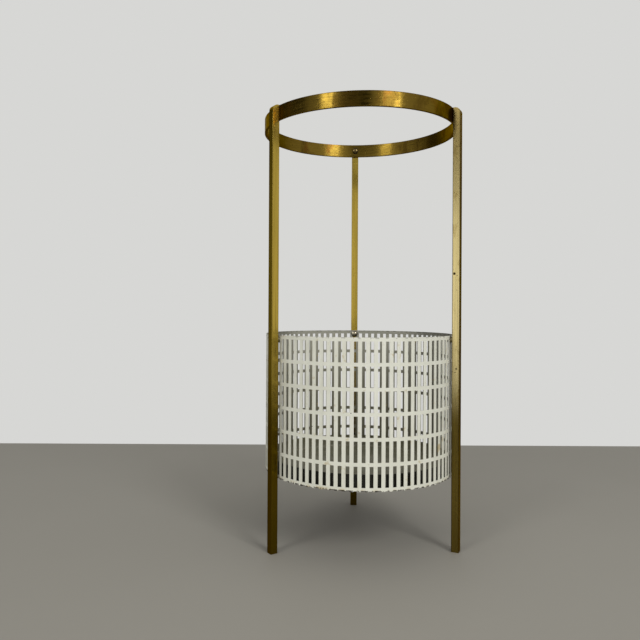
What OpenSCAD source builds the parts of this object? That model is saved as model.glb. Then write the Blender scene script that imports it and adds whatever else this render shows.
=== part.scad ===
// Umbrella stand: a perforated sheet basket and a flat top ring, both held inside three square brass legs,
// with a loose drip tray on the folded tabs at the basket's foot.
// Frame: +Z up, origin on the floor in the middle of the footprint box, front at -Y between two legs.
// Sizes are in millimetres.

/* [Legs] */
// Height from the floor to the top of the legs
stand_h = 500; // [440:5:600]
// Side of the square leg bar
leg_w = 8.5; // [7:0.5:10]
// Radius of the rounded outer corner at a leg's top
leg_round = 6.5; // [2:0.5:6.5]
// Chamfer along the four long edges of a leg
leg_chamfer = 0.3; // [0.1:0.1:0.6]
// Slots from the basket's front round to each front leg
front_leg_slots = 14; // [12:1:16]
// Slots from the basket's front round to the back leg
back_leg_slots = 41; // [40:1:44]

/* [Top ring] */
// Height of the ring's flat strip
ring_h = 16.5; // [12:0.5:24]
// Thickness of the ring's flat strip
ring_t = 3; // [3:0.5:4]
// Chamfer along the ring's four edges
ring_chamfer = 0.3; // [0.1:0.1:0.6]

/* [Basket] */
// Outer radius of the basket
basket_r = 112; // [105:1:120]
// Height of the basket's underside above the floor
basket_base = 82; // [60:1:120]
// Thickness of the basket's sheet
sheet_t = 1; // [0.8:0.1:1.2]
// Slots in one row round the basket
slot_count = 84; // [80:2:88]
// Rows of slots
slot_rows = 6; // [4:1:7]
// Width of a slot
slot_w = 4.1; // [3.6:0.1:4.4]
// Height of a slot
slot_h = 22.2; // [18:0.2:24]
// Solid band between two rows of slots
row_band = 3.9; // [3:0.1:5]
// Solid band above the top row
rim_band = 4.2; // [3.6:0.1:6]
// Solid band below the bottom row
foot_band = 3.5; // [3:0.1:6]
// Length of the tabs folded inwards under the drip tray
tab_len = 10; // [6:1:14]

/* [Drip tray] */
// Outer radius of the drip tray
tray_r = 108; // [98:0.5:108]
// Height of the drip tray
tray_h = 16; // [10:1:30]
// Thickness of the tray's sheet
tray_t = 1; // [0.8:0.1:1.5]
// Outer radius of the bend between the tray's floor and wall
tray_bend = 3; // [2:0.5:5]

/* [Screws and spacers] */
// Radius of a screw's head
head_r = 4; // [3.5:0.1:4]
// Height of a screw's head
head_h = 2.4; // [2:0.1:2.4]
// Radius of a screw's shank
shank_r = 2; // [1.8:0.1:2]
// Depth that a shank reaches into a leg
grip = 6; // [4:0.5:6]
// Thickness of the spacers between the basket and the legs
spacer_t = 3; // [3:0.5:4]
// Outer radius of the spacers
spacer_r = 3; // [2.8:0.1:4]
// Distance from the basket's rim down to its screws
rim_screw_drop = 4.6; // [4.4:0.1:6]

/* [Hidden] */

$fn = 96;
brass = [0.62, 0.49, 0.22];
old_brass = [0.36, 0.28, 0.15];
cream = [0.86, 0.85, 0.77];
black = [0.08, 0.08, 0.08];

slot_pitch = 360 / slot_count;      // angle from one slot to the next
row_pitch = slot_h + row_band;      // height from one row to the next
leg_in = basket_r + spacer_t;       // distance from the basket's axis to a leg's inner face
leg_out = leg_in + leg_w;           // distance from the basket's axis to a leg's outer face
ring_r = leg_in;                    // outer radius of the ring, which lies against the legs
ring_mid_z = stand_h - ring_h / 2;  // height of the ring's screws
tab_drop = 0.7;                     // how far the folded tabs' underside lies below the wall
wall_base = basket_base + tab_drop; // lower edge of the basket's wall
wall_h = foot_band + slot_rows * row_pitch - row_band + rim_band;
rim_z = wall_base + wall_h;         // top of the basket
rim_screw_z = rim_z - rim_screw_drop;
bar_w = 2 * PI * basket_r / slot_count - slot_w;  // width of the sheet between two slots
hole_r = shank_r + 0.1;             // clearance holes in the ring, the basket and the spacers
tap_r = shank_r + 0.05;             // screw holes in the legs
tap_spare = 0.5;                    // depth of a leg's hole beyond the screw's end
tray_play = 0.3;                    // gap between the tray and the tabs it rests on
tray_z = basket_base + sheet_t + tray_play;  // underside of the drip tray
over = 1;                           // how far a cutting solid runs past what it cuts
driver_slot_w = 1;
driver_slot_depth = 1.1;
head_edge_h = 1.1;                  // straight side of a screw's head below its dome

left_slots = -front_leg_slots;
right_slots = front_leg_slots;
back_slots = back_leg_slots;

// The back leg reaches past the ring, so the basket's axis lies a little in front of the origin.
back_angle = leg_angle(back_slots);
back_reach = leg_out * sin(back_angle) + leg_w / 2 * abs(cos(back_angle));
axis_y = -(back_reach - ring_r) / 2;

// Direction from the basket's axis to the slot with this number, counted from the front
function leg_angle(slots) = -90 + slots * slot_pitch;

// Underside of a flat screw head that rests on the inside of a wall with this radius
function head_seat(wall_r) = sqrt(wall_r * wall_r - head_r * head_r);

// Puts its children on the basket's axis
module on_axis() {
    translate([0, axis_y, 0]) children();
}

// Puts its children on the basket's axis, with +X outwards through the slot with this number
module towards(slots) {
    on_axis() rotate([0, 0, leg_angle(slots)]) children();
}

// A cylinder along +X from x0 to x1 at height z
module rod_x(r, x0, x1, z) {
    translate([x0, 0, z]) rotate([0, 90, 0]) cylinder(r = r, h = x1 - x0);
}

// Outline of a leg seen along Y: plain foot, rounded outer corner at the top
module leg_side() {
    square([leg_w, stand_h - leg_round]);
    square([leg_w - leg_round, stand_h]);
    translate([leg_w - leg_round, stand_h - leg_round]) circle(leg_round);
}

// Cross-section of a leg: a square bar with its long edges eased
module leg_section() {
    a = leg_w / 2;
    b = a - leg_chamfer;
    polygon([[a, b], [b, a], [-b, a], [-a, b], [-a, -b], [-b, -a], [b, -a], [a, -b]]);
}

module leg(slots) {
    color(brass) towards(slots) difference() {
        translate([leg_in, 0, 0]) intersection() {
            translate([leg_w / 2, 0, 0]) linear_extrude(stand_h) leg_section();
            rotate([90, 0, 0]) linear_extrude(leg_w + 2 * over, center = true) leg_side();
        }
        for (z = [rim_screw_z, ring_mid_z])
            rod_x(tap_r, leg_in - over, leg_in + grip + tap_spare, z);
    }
}

// Cross-section of the ring's strip, its edges eased, standing on z = 0
module ring_section() {
    c = ring_chamfer;
    x0 = ring_r - ring_t;
    x1 = ring_r;
    polygon([
        [x0 + c, 0], [x1 - c, 0], [x1, c], [x1, ring_h - c],
        [x1 - c, ring_h], [x0 + c, ring_h], [x0, ring_h - c], [x0, c],
    ]);
}

module top_ring() {
    color(brass) difference() {
        on_axis() translate([0, 0, stand_h - ring_h]) rotate_extrude() ring_section();
        for (slots = [left_slots, right_slots, back_slots])
            towards(slots) rod_x(hole_r, ring_r - ring_t - over, ring_r + over, ring_mid_z);
    }
}

// One row of slots, as boxes that cut through the basket's wall
module slot_row() {
    linear_extrude(slot_h)
        for (i = [0 : slot_count - 1])
            rotate(leg_angle(i))
                translate([basket_r - sheet_t - over, -slot_w / 2])
                    square([sheet_t + 2 * over, slot_w]);
}

// The bars of the sheet below the bottom band, folded inwards to carry the tray
module folded_tabs() {
    intersection() {
        linear_extrude(sheet_t)
            for (i = [0 : slot_count - 1])
                rotate(leg_angle(i + 0.5))
                    translate([basket_r - tab_len, -bar_w / 2])
                        square([tab_len + over, bar_w]);
        cylinder(r = basket_r, h = sheet_t);
    }
}

module basket() {
    color(cream) difference() {
        on_axis() union() {
            translate([0, 0, wall_base]) difference() {
                cylinder(r = basket_r, h = wall_h);
                translate([0, 0, -over]) cylinder(r = basket_r - sheet_t, h = wall_h + 2 * over);
                for (row = [0 : slot_rows - 1])
                    translate([0, 0, foot_band + row * row_pitch]) slot_row();
            }
            translate([0, 0, basket_base]) folded_tabs();
        }
        for (slots = [left_slots, right_slots, back_slots])
            towards(slots) rod_x(hole_r, basket_r - sheet_t - over, basket_r + over, rim_screw_z);
    }
}

// A slotted round-head screw along +X, its head's underside at x = seat. slot_turn is the slot's
// angle from upright.
module screw(seat, tip, z, slot_turn) {
    dome_h = head_h - head_edge_h;
    dome_r = (head_r * head_r + dome_h * dome_h) / (2 * dome_h);
    color(old_brass) difference() {
        union() {
            rod_x(shank_r, seat - head_edge_h / 2, tip, z);
            intersection() {
                rod_x(head_r, seat - head_h, seat, z);
                translate([seat - head_h + dome_r, 0, z]) sphere(dome_r);
            }
        }
        translate([seat - head_h - over, 0, z]) rotate([slot_turn, 0, 0])
            translate([0, -driver_slot_w / 2, -head_r - over])
                cube([over + driver_slot_depth, driver_slot_w, 2 * (head_r + over)]);
    }
}

module ring_screw(slots, slot_turn) {
    towards(slots) screw(head_seat(ring_r - ring_t), leg_in + grip, ring_mid_z, slot_turn);
}

module basket_screw(slots, slot_turn) {
    towards(slots) screw(head_seat(basket_r - sheet_t), leg_in + grip, rim_screw_z, slot_turn);
}

module spacer(slots) {
    color(brass) towards(slots) difference() {
        rod_x(spacer_r, basket_r, leg_in, rim_screw_z);
        rod_x(hole_r, basket_r - over, leg_in + over, rim_screw_z);
    }
}

// Half section of the tray's outside or inside: a flat floor, a round bend and an upright wall
module tray_outline(r, h, bend) {
    square([r - bend, h]);
    translate([0, bend]) square([r, h - bend]);
    translate([r - bend, bend]) circle(bend);
}

module drip_tray() {
    color(black) on_axis() translate([0, 0, tray_z]) rotate_extrude() difference() {
        tray_outline(tray_r, tray_h, tray_bend);
        translate([0, tray_t]) tray_outline(tray_r - tray_t, tray_h, tray_bend - tray_t);
    }
}

leg(left_slots);  // leg_left
leg(right_slots);  // leg_right
leg(back_slots);  // leg_back
top_ring();
ring_screw(left_slots, 20);  // ring_screw_left
ring_screw(right_slots, -35);  // ring_screw_right
ring_screw(back_slots, 0);  // ring_screw_back
basket();
basket_screw(left_slots, 60);  // basket_screw_left
basket_screw(right_slots, 10);  // basket_screw_right
basket_screw(back_slots, 80);  // basket_screw_back
spacer(left_slots);  // spacer_left
spacer(right_slots);  // spacer_right
spacer(back_slots);  // spacer_back
drip_tray();
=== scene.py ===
import math

import bpy
from mathutils import Matrix, Vector


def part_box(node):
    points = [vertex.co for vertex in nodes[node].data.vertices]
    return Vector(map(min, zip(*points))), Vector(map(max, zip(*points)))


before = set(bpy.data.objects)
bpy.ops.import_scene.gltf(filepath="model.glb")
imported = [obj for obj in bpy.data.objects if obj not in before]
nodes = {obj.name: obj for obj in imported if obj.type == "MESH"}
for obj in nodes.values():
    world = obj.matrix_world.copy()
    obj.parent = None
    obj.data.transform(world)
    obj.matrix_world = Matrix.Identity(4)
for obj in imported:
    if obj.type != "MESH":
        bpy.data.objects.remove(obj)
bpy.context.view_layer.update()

scene = bpy.context.scene

MM = 0.001


# ---------------------------------------------------------------- places taken from the frame
def middle(node):
    lo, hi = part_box(node)
    return (lo + hi) / 2


axis = middle("basket")  # the basket's axis
basket_lo, basket_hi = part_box("basket")
basket_r = (basket_hi.x - basket_lo.x) / 2
ring_lo, ring_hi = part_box("top_ring")
ring_r = (ring_hi.x - ring_lo.x) / 2
BAR_HALF = 4.25 * MM  # half of a leg's width


def outwards(node):
    """The level direction from the basket's axis to a node."""
    mid = middle(node)
    return Vector((mid.x - axis.x, mid.y - axis.y, 0)).normalized()


def bar_centre(side):
    """The middle line of a leg, at floor height."""
    return Vector((axis.x, axis.y, 0)) + outwards("leg_" + side) * (ring_r + BAR_HALF)


def polar(angle_deg, radius, height):
    """A place on a circle about the basket's axis."""
    a = math.radians(angle_deg)
    return (axis.x + radius * math.cos(a), axis.y + radius * math.sin(a), height)


# ---------------------------------------------------------------- camera
HEADING = -1.891                              # degrees, of the camera and the floor's far edge
ROLL = 0.28                                   # degrees
CAMERA_PLACE = (-0.09945, -0.78326, 0.27284)  # from the basket's axis on the floor
LENS = 36.42                                  # mm, on a sensor 36 mm wide
SHIFT = (0.03405, -0.0177)


def make_camera():
    cam = bpy.data.objects.new("camera", bpy.data.cameras.new("camera"))
    scene.collection.objects.link(cam)
    level = Matrix.Rotation(math.radians(90), 3, "X")  # looks along +Y
    rolled = level @ Matrix.Rotation(math.radians(ROLL), 3, "Z")
    turned = Matrix.Rotation(math.radians(HEADING), 3, "Z") @ rolled
    dx, dy, height = CAMERA_PLACE
    place = Vector((axis.x + dx, axis.y + dy, height))
    cam.matrix_world = Matrix.Translation(place) @ turned.to_4x4()
    cam.data.sensor_width = 36
    cam.data.lens = LENS
    cam.data.shift_x, cam.data.shift_y = SHIFT
    cam.data.clip_start = 0.01
    cam.data.clip_end = 50
    scene.camera = cam


make_camera()


# ---------------------------------------------------------------- node helpers
class Nodes:
    """Short ways to add and join shader nodes in one tree."""

    def __init__(self, tree):
        self.tree = tree

    def add(self, kind, **settings):
        made = self.tree.nodes.new(kind)
        for key, value in settings.items():
            setattr(made, key, value)
        return made

    def put(self, socket, value):
        if isinstance(value, bpy.types.NodeSocket):
            self.tree.links.new(value, socket)
        else:
            socket.default_value = value

    def coords(self):
        return self.add("ShaderNodeTexCoord").outputs["Object"]

    def scaled(self, vector, scale):
        made = self.add("ShaderNodeMapping")
        self.put(made.inputs["Vector"], vector)
        made.inputs["Scale"].default_value = scale
        return made.outputs["Vector"]

    def noise(self, vector, scale, detail=3.0, roughness=0.5):
        made = self.add("ShaderNodeTexNoise")
        self.put(made.inputs["Vector"], vector)
        made.inputs["Scale"].default_value = scale
        made.inputs["Detail"].default_value = detail
        made.inputs["Roughness"].default_value = roughness
        return made.outputs["Fac"]

    def span(self, value, lo, hi, out_lo=0.0, out_hi=1.0):
        """A smooth step from out_lo at lo to out_hi at hi."""
        made = self.add("ShaderNodeMapRange", interpolation_type="SMOOTHSTEP")
        self.put(made.inputs["Value"], value)
        made.inputs["From Min"].default_value = lo
        made.inputs["From Max"].default_value = hi
        made.inputs["To Min"].default_value = out_lo
        made.inputs["To Max"].default_value = out_hi
        return made.outputs["Result"]

    def math(self, operation, a, b=0.0):
        made = self.add("ShaderNodeMath", operation=operation)
        self.put(made.inputs[0], a)
        self.put(made.inputs[1], b)
        return made.outputs[0]

    def plus(self, a, b):
        return self.math("ADD", a, b)

    def times(self, a, b):
        return self.math("MULTIPLY", a, b)

    def most(self, a, b):
        return self.math("MAXIMUM", a, b)

    def mix(self, factor, a, b):
        made = self.add("ShaderNodeMix", data_type="RGBA")
        self.put(made.inputs["Factor"], factor)
        for name, value in (("A", a), ("B", b)):
            socket = [s for s in made.inputs if s.name == name and s.type == "RGBA"][0]
            self.put(socket, value if isinstance(value, bpy.types.NodeSocket) else (*value, 1.0))
        return [s for s in made.outputs if s.type == "RGBA"][0]

    def part(self, vector, which):
        made = self.add("ShaderNodeSeparateXYZ")
        self.put(made.inputs[0], vector)
        return made.outputs[which]

    def vector(self, operation, a, b=None):
        """A vector operation: its node, whose "Vector" or "Value" output is used."""
        made = self.add("ShaderNodeVectorMath", operation=operation)
        self.put(made.inputs[0], a)
        if b is not None:
            made.inputs[1].default_value = b
        return made

    def from_axis(self, vector):
        """Distance from the basket's upright axis."""
        moved = self.vector("SUBTRACT", vector, (axis.x, axis.y, 0)).outputs["Vector"]
        return self.vector("LENGTH", self.scaled(moved, (1, 1, 0))).outputs["Value"]

    def spot(self, vector, centre, radius):
        """1 at centre, 0 beyond radius."""
        away = self.vector("DISTANCE", vector, centre).outputs["Value"]
        return self.span(away, radius * 0.6, radius, 1.0, 0.0)

    def bump(self, height, distance):
        made = self.add("ShaderNodeBump")
        self.put(made.inputs["Height"], height)
        made.inputs["Distance"].default_value = distance
        made.inputs["Strength"].default_value = 1.0
        return made.outputs["Normal"]


def material(name):
    made = bpy.data.materials.new(name)
    made.use_nodes = True
    shader = made.node_tree.nodes["Principled BSDF"]
    return made, Nodes(made.node_tree), shader.inputs


def dress(node, made):
    slots = nodes[node].material_slots
    if not slots:
        nodes[node].data.materials.append(made)
    for one in slots:
        one.material = made


# ---------------------------------------------------------------- colours
EDGE_TINT = (0.85, 0.62, 0.16, 1.0)   # brass seen at a low angle
# painted shade for the legs' edges and outer and inner faces
EDGE_SHADE = (0.045, 0.030, 0.012)
RUSTY = (0.15, 0.062, 0.010)
PIT = (0.035, 0.022, 0.010)
# the legs are one brass; these base tones are set leg by leg to how bright each leg looks, a
# painted reflection, the right leg's paler tones also standing for a dusty film
GOLD = (0.46, 0.325, 0.055)
BACK_GOLD = (0.52, 0.37, 0.062)
PALE_GOLD = (0.60, 0.49, 0.225)
BROWN = (0.13, 0.075, 0.007)
PALE_BROWN = (0.30, 0.21, 0.06)
# painted shade by height: the dark floor reflected low on the legs; the right leg's upper band is
# partly patina
FOOT_LEFT_SHADE = (0.125, 0.080, 0.004)
FOOT_RIGHT_SHADE = (0.17, 0.120, 0.024)
UPPER_RIGHT_SHADE_AND_PATINA = (0.10, 0.075, 0.027)
RING_GOLD = (0.20, 0.130, 0.020)
RING_BROWN = (0.07, 0.040, 0.006)
# the spacers' matt patina, kept dark so they read as the shade beside the legs: partly painted
# shade
SHADED_DULL_METAL = (0.34, 0.30, 0.19)
SHADED_DULL_PATCH = (0.20, 0.17, 0.10)
SCREW_METAL = {"ring": (0.13, 0.092, 0.034), "basket": (0.50, 0.45, 0.34)}
SCREW_DIRT = (0.03, 0.022, 0.014)
CREAM_LIGHT = (0.81, 0.81, 0.715)
CREAM_DEEP = (0.755, 0.755, 0.65)
CREAM_LOW = (0.72, 0.715, 0.60)       # mixed in towards the basket's foot
# inside tones: a darker, dirtier lacquer; the foot and flank tones add painted shade
INSIDE_TOP = (0.35, 0.345, 0.285)
INSIDE_FOOT_SHADE = (0.175, 0.168, 0.115)
INSIDE_FLANK_SHADE = (0.14, 0.14, 0.12)
YELLOWED = (0.50, 0.39, 0.17)
CHIP = (0.02, 0.014, 0.008)
TRAY_BLACK = (0.030, 0.030, 0.024)
# the tray's inside: dusty, with a painted reflection of the basket, lighter on the floor
DUST_AND_SHEEN_FLOOR = (0.27, 0.260, 0.185)
DUST_AND_SHEEN_WALL = (0.19, 0.182, 0.115)
FLOOR_DARK = (0.335, 0.318, 0.280)
FLOOR_LIGHT = (0.365, 0.348, 0.308)


# ---------------------------------------------------------------- materials
def brass(name, gold, tarnish, stretch, patch_scale, patch_amount, shade_and_patina_bands=(), marks=(), pits=0.6,
          rough_base=0.19, reddish=0.0, edge_shade=None):
    """Old brass: gold worn bright in streaks, brown tarnish in patches, dark pits. Each entry of
    the height bands has a colour, the height where it is full and the height where it ends; the
    bands are painted shade for the dark surroundings reflected in the brass, the right leg's
    upper band partly patina. The bar shading has a bar's middle, its outward direction and how
    strongly its outer and inner faces and the edges beside them are darkened, a painted shade."""
    made, n, into = material(name)
    place = n.coords()
    streaks = n.noise(n.scaled(place, stretch), 1.0, 4.0, 0.6)
    patches = n.noise(n.scaled(place, (1, 1, 0.45)), patch_scale, 5.0, 0.62)
    fine = n.noise(place, 900, 3.0)
    tint = n.mix(n.span(streaks, 0.35, 0.65), gold, [c * 0.82 for c in gold])
    patch_start = 0.62 - patch_amount * 0.4
    tarnished = n.span(patches, patch_start, patch_start + 0.16)
    tint = n.mix(n.times(tarnished, 0.75), tint, tarnish)
    # height bands: painted shade for dark surroundings reflected in the brass, the right leg's
    # upper band partly patina
    for colour, full, none in shade_and_patina_bands:
        lower, upper = sorted((full, none))
        at_height = n.span(n.part(place, 2), lower, upper, float(full < none), float(full > none))
        tint = n.mix(at_height, tint, colour)
    # painted shade: the bar's outer and inner faces and the edges beside them darkened
    if edge_shade:
        centre, outward, strength = edge_shade
        off = n.vector("SUBTRACT", place, centre).outputs["Vector"]
        across = n.math("ABSOLUTE", n.vector("DOT_PRODUCT", off, outward).outputs["Value"])
        edge = n.span(across, BAR_HALF - 1.0 * MM, BAR_HALF - 0.3 * MM)
        tint = n.mix(n.times(edge, strength), tint, EDGE_SHADE)
    if reddish:
        rusty = n.span(n.noise(n.scaled(place, (1, 1, 0.6)), 48, 4.0, 0.6), 0.56, 0.66)
        tint = n.mix(n.times(rusty, reddish), tint, RUSTY)
    speck = n.times(n.span(n.noise(place, 420, 2.0, 0.7), 0.665, 0.72), pits)
    for centre, radius in marks:
        speck = n.most(speck, n.spot(place, centre, radius))
    n.put(into["Base Color"], n.mix(speck, tint, PIT))
    into["Metallic"].default_value = 1.0
    into["Specular Tint"].default_value = EDGE_TINT
    rough = n.plus(n.span(streaks, 0.3, 0.7, rough_base, rough_base + 0.09),
                   n.times(tarnished, 0.10))
    n.put(into["Roughness"], n.plus(rough, n.times(speck, 0.3)))
    height = n.plus(n.times(streaks, 0.6), n.times(fine, 0.4))
    height = n.math("SUBTRACT", height, n.times(speck, 1.5))
    n.put(into["Normal"], n.bump(height, 0.04 * MM))
    return made


def cream(chips, stains):
    """Aged cream lacquer on sheet steel, with stains and chips, a darker, dirtier inside, and
    painted shade inside and on the slots' cut sides.
    """
    made, n, into = material("cream_lacquer")
    place = n.coords()
    height = n.part(place, 2)
    reach = n.from_axis(place)
    tint = n.mix(n.span(n.noise(place, 38, 4.0), 0.35, 0.65), CREAM_LIGHT, CREAM_DEEP)
    tint = n.mix(n.span(height, basket_lo.z, basket_hi.z, 0.25, 0.0), tint, CREAM_LOW)

    # the inside: a darker, dirtier lacquer with painted shade deeper down and at the two flanks,
    # and painted shade on the slots' cut sides
    inner = n.span(reach, basket_r - 0.85 * MM, basket_r - 0.6 * MM, 1.0, 0.0)
    # painted shade on the slots' cut sides
    side = n.span(reach, basket_r - 0.2 * MM, basket_r - 0.05 * MM, 0.6, 0.0)
    sideways = n.math("ABSOLUTE", n.math("SUBTRACT", n.part(place, 0), axis.x))
    flank_shade = n.span(sideways, 70 * MM, 98 * MM)
    depth_shade = n.span(height, basket_lo.z + 60 * MM, basket_hi.z - 4 * MM, 1.0, 0.0)
    within = n.mix(depth_shade, INSIDE_TOP, INSIDE_FOOT_SHADE)
    within = n.mix(n.times(flank_shade, 0.65), within, INSIDE_FLANK_SHADE)
    tint = n.mix(n.most(inner, side), tint, within)

    # yellowed clouds and spots, and a yellowed band at the foot, stronger on the left
    yellow = n.times(n.span(n.noise(place, 95, 4.0, 0.65), 0.60, 0.72), 0.55)
    for centre, radius in stains:
        yellow = n.most(yellow, n.times(n.spot(place, centre, radius), 0.7))
    left_part = n.span(n.part(place, 0), axis.x - 60 * MM, axis.x + 20 * MM, 1.0, 0.55)
    low_band = n.span(height, basket_lo.z + 1 * MM, basket_lo.z + 4 * MM, 0.7, 0.0)
    low_band = n.times(low_band, left_part)
    low_band = n.times(low_band, n.span(n.noise(place, 120, 4.0, 0.6), 0.46, 0.58))
    tint = n.mix(n.most(yellow, low_band), tint, YELLOWED)

    # chips: along the foot and the rim, a few anywhere, and the ones given by place
    near_foot = n.span(height, basket_lo.z + 1.1 * MM, basket_lo.z + 1.6 * MM, 1.0, 0.0)
    near_rim = n.span(height, basket_hi.z - 2.5 * MM, basket_hi.z, 0.0, 0.6)
    flakes = n.noise(place, 240, 3.0, 0.6)
    foot_worn = n.times(n.times(near_foot, left_part), n.span(flakes, 0.46, 0.50))
    foot_worn = n.math("MINIMUM", n.times(foot_worn, 1.7), 1.0)
    rim_worn = n.times(n.times(near_rim, n.span(flakes, 0.52, 0.58)), 0.85)
    stray = n.span(n.noise(place, 260, 2.0, 0.6), 0.76, 0.80)
    chipped = n.most(n.most(foot_worn, rim_worn), stray)
    for centre, radius in chips:
        chipped = n.most(chipped, n.spot(place, centre, radius))
    n.put(into["Base Color"], n.mix(chipped, tint, CHIP))
    n.put(into["Roughness"], n.plus(n.span(n.noise(place, 150, 3.0), 0.3, 0.7, 0.34, 0.46),
                                    n.times(chipped, 0.35)))
    skin = n.math("SUBTRACT", n.noise(place, 700, 2.0), n.times(chipped, 2.0))
    n.put(into["Normal"], n.bump(skin, 0.05 * MM))
    return made


def black_gloss():
    """Black lacquer, glossy on the tray's outside; inside it is dusty and scuffed, and its grey
    there also holds a painted reflection of the basket, lighter on the tray's floor.
    """
    made, n, into = material("black_lacquer")
    place = n.coords()
    height = n.part(place, 2)
    lo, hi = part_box("drip_tray")
    tray_r = (hi.x - lo.x) / 2
    inside = n.span(n.from_axis(place), tray_r - 0.7 * MM, tray_r - 0.3 * MM, 1.0, 0.0)
    inside = n.times(inside, n.span(height, lo.z + 0.4 * MM, lo.z + 0.8 * MM))
    cloud = n.span(n.noise(place, 45, 5.0, 0.65), 0.3, 0.75)
    dust_and_sheen = n.times(inside, n.plus(n.times(cloud, 0.3), 0.7))
    # inside grey: a dusty film plus a painted reflection of the basket, the floor lighter than
    # the wall
    grey = n.mix(n.span(height, lo.z + 2 * MM, lo.z + 15 * MM), DUST_AND_SHEEN_FLOOR, DUST_AND_SHEEN_WALL)
    n.put(into["Base Color"], n.mix(dust_and_sheen, TRAY_BLACK, grey))
    n.put(into["Roughness"], n.plus(n.times(dust_and_sheen, 0.14), 0.12))
    n.put(into["Normal"], n.bump(n.noise(place, 120, 3.0), 0.06 * MM))
    return made


def old_screw(name, centre, outward, metal):
    """A screw's head: patchy metal in the middle, dark dirt round its edge."""
    made, n, into = material(name)
    place = n.coords()
    off = n.vector("SUBTRACT", place, centre).outputs["Vector"]
    along = n.vector("DOT_PRODUCT", off, outward).outputs["Value"]
    total = n.vector("LENGTH", off).outputs["Value"]
    square = n.math("SUBTRACT", n.times(total, total), n.times(along, along))
    from_middle = n.math("SQRT", n.most(square, 0.0))
    dirt = n.span(from_middle, 2.9 * MM, 3.6 * MM)
    patch = n.span(n.noise(place, 500, 4.0, 0.6), 0.45, 0.7)
    tint = n.mix(n.times(patch, 0.6), metal, [c * 0.4 for c in metal])
    n.put(into["Base Color"], n.mix(dirt, tint, SCREW_DIRT))
    into["Metallic"].default_value = 1.0
    n.put(into["Roughness"], n.plus(n.times(patch, 0.15), 0.22))
    n.put(into["Normal"], n.bump(n.noise(place, 900, 2.0), 0.04 * MM))
    return made


# ---------------------------------------------------------------- what each node wears
LONG = (420, 420, 9)    # noise scale of streaks along a bar
ROUND = (60, 60, 500)   # of streaks round the ring
EVEN = (60, 60, 60)


def bar_edge_shade(side, strength):
    """brass's painted shade on a leg's edges and outer and inner faces."""
    return tuple(bar_centre(side)), tuple(outwards("leg_" + side)), strength


def right_leg_marks():
    """Dark dots on the right leg's face towards the front: height, place across and radius."""
    front = Vector((-math.sin(math.radians(30)), -math.cos(math.radians(30)), 0))
    face = bar_centre("right") + front * BAR_HALF
    outward = outwards("leg_right")
    dots = ((0.313, -1.8 * MM, 1.7 * MM), (0.206, 0.8 * MM, 1.1 * MM),
            (0.202, -0.6 * MM, 0.7 * MM), (0.4555, 0.5 * MM, 0.6 * MM))
    return [(tuple(face + outward * across + Vector((0, 0, z))), radius)
            for z, across, radius in dots]


dress("leg_left", brass("leg_left_brass", GOLD, BROWN, LONG, 22, 0.25,
                        shade_and_patina_bands=[(FOOT_LEFT_SHADE, 0.13, 0.21)], pits=0.2, edge_shade=bar_edge_shade("left", 0.30)))
dress("leg_right", brass("leg_right_brass", PALE_GOLD, PALE_BROWN, LONG, 70, 0.26,
                         shade_and_patina_bands=[(FOOT_RIGHT_SHADE, 0.14, 0.20), (UPPER_RIGHT_SHADE_AND_PATINA, 0.49, 0.30)],
                         marks=right_leg_marks(), edge_shade=bar_edge_shade("right", 0.85)))
dress("leg_back", brass("leg_back_brass", BACK_GOLD, BROWN, LONG, 24, 0.2,
                        shade_and_patina_bands=[(FOOT_LEFT_SHADE, 0.08, 0.20)]))
dress("top_ring", brass("ring_brass", RING_GOLD, RING_BROWN, ROUND, 42, 0.42,
                        pits=0.9, rough_base=0.12, reddish=0.45))
for side in ("left", "right", "back"):
    # spacers: matt patina kept dark, partly painted shade beside the legs
    dress("spacer_" + side, brass("spacer_brass_" + side, SHADED_DULL_METAL, SHADED_DULL_PATCH, EVEN, 90, 0.5,
                                  rough_base=0.4))
    for kind in ("ring", "basket"):
        screw = kind + "_screw_" + side
        dress(screw, old_screw(kind + "_screw_brass_" + side, tuple(middle(screw)),
                               tuple(outwards(screw)), SCREW_METAL[kind]))

back_screw = middle("basket_screw_back")
chip_list = [(tuple(back_screw + Vector((12.2, -0.8, 0.5)) * MM), 2.2 * MM),
             (tuple(back_screw + Vector((5.5, -0.2, 3.5)) * MM), 1.2 * MM)]
stain_list = [(polar(-45, basket_r, 0.122), 4.5 * MM), (polar(-47, basket_r, 0.118), 3 * MM),
              (polar(-107, basket_r, 0.106), 3 * MM)]
dress("basket", cream(chip_list, stain_list))
dress("drip_tray", black_gloss())


# ---------------------------------------------------------------- floor, world and lights
FLOOR_BACK, FLOOR_FRONT, FLOOR_HALF_WIDTH = 0.513, -0.42, 1.1
SEEN_WALL = (0.68, 0.68, 0.665)


def make_floor():
    mesh = bpy.data.meshes.new("floor")
    corners = [(-FLOOR_HALF_WIDTH, FLOOR_FRONT), (FLOOR_HALF_WIDTH, FLOOR_FRONT),
               (FLOOR_HALF_WIDTH, FLOOR_BACK), (-FLOOR_HALF_WIDTH, FLOOR_BACK)]
    mesh.from_pydata([(x, y, 0.0) for x, y in corners], [], [(0, 1, 2, 3)])
    floor = bpy.data.objects.new("floor", mesh)
    floor.rotation_euler.z = math.radians(HEADING)
    floor.location = (axis.x, axis.y, 0)
    scene.collection.objects.link(floor)
    made, n, into = material("floor")
    n.put(into["Base Color"], n.mix(n.noise(n.coords(), 3.0, 4.0), FLOOR_DARK, FLOOR_LIGHT))
    into["Roughness"].default_value = 0.6
    mesh.materials.append(made)


def direction(azimuth, elevation):
    """A unit vector. azimuth is counted from the front, to the right."""
    a, e = math.radians(azimuth), math.radians(elevation)
    return (math.sin(a) * math.cos(e), -math.cos(a) * math.cos(e), math.sin(e))


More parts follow.
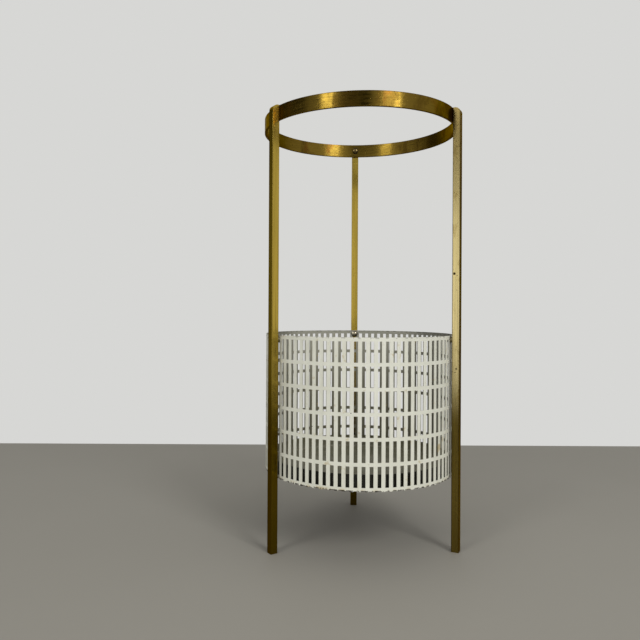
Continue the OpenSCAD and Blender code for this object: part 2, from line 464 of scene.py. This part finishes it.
def make_world():
    """A pale room for the reflections: a bright band low down, brightest on the left, two dark
    patches and a dim ceiling above it, and one plain tone behind the object."""
    world = bpy.data.worlds.new("studio")
    world.use_nodes = True
    scene.world = world
    n = Nodes(world.node_tree)
    background = world.node_tree.nodes["Background"]
    way = n.add("ShaderNodeTexCoord").outputs["Generated"]
    up = n.part(way, 2)

    def near(azimuth, elevation, inner, outer):
        """1 within inner degrees of a direction, 0 beyond outer degrees."""
        dot = n.vector("DOT_PRODUCT", way, direction(azimuth, elevation)).outputs["Value"]
        return n.span(dot, math.cos(math.radians(outer)), math.cos(math.radians(inner)))

    upper = n.mix(near(55, 17, 30, 55), (0.36, 0.36, 0.35), (0.62, 0.61, 0.58))
    upper = n.mix(near(-13, 17, 15, 21), upper, (0.03, 0.027, 0.022))
    upper = n.mix(near(-100, 17, 20, 34), upper, (0.05, 0.045, 0.04))
    middle_band = n.mix(near(0, 4, 62, 100), (0.21, 0.205, 0.19), (0.88, 0.88, 0.86))
    middle_band = n.mix(near(-60, 4, 20, 55), middle_band, (1.3, 1.3, 1.27))
    sky = n.mix(n.span(up, 0.18, 0.26), middle_band, upper)
    sky = n.mix(n.span(up, -0.13, -0.07), (0.15, 0.14, 0.125), sky)
    seen = n.add("ShaderNodeLightPath").outputs["Is Camera Ray"]
    n.put(background.inputs["Color"], n.mix(seen, sky, SEEN_WALL))
    background.inputs["Strength"].default_value = 1.0


def make_light(name, azimuth, distance, height, size, power, tint=(1, 1, 1)):
    """A soft box. azimuth is counted from the front, to the right."""
    a = math.radians(azimuth)
    lamp = bpy.data.lights.new(name, "AREA")
    lamp.shape = "RECTANGLE"
    lamp.size, lamp.size_y = size
    lamp.energy = power
    lamp.color = tint
    obj = bpy.data.objects.new(name, lamp)
    obj.location = (axis.x + distance * math.sin(a), axis.y - distance * math.cos(a), height)
    aim = Vector((axis.x, axis.y, 0.25)) - obj.location
    obj.rotation_euler = aim.to_track_quat("-Z", "Y").to_euler()
    scene.collection.objects.link(obj)
    return obj


make_floor()
make_world()
make_light("window_left", -43, 2.2, 1.56, (0.62, 0.95), 10, (1.0, 0.99, 0.96))
make_light("window_right", 29, 2.2, 1.56, (0.72, 0.95), 22)
make_light("ceiling", 0, 0.5, 2.4, (2.4, 2.4), 4)
fill = make_light("fill", -4, 2.0, 0.5, (1.4, 0.8), 2)
fill.data.specular_factor = 0.0
fill.visible_glossy = False

scene.view_settings.view_transform = "Standard"
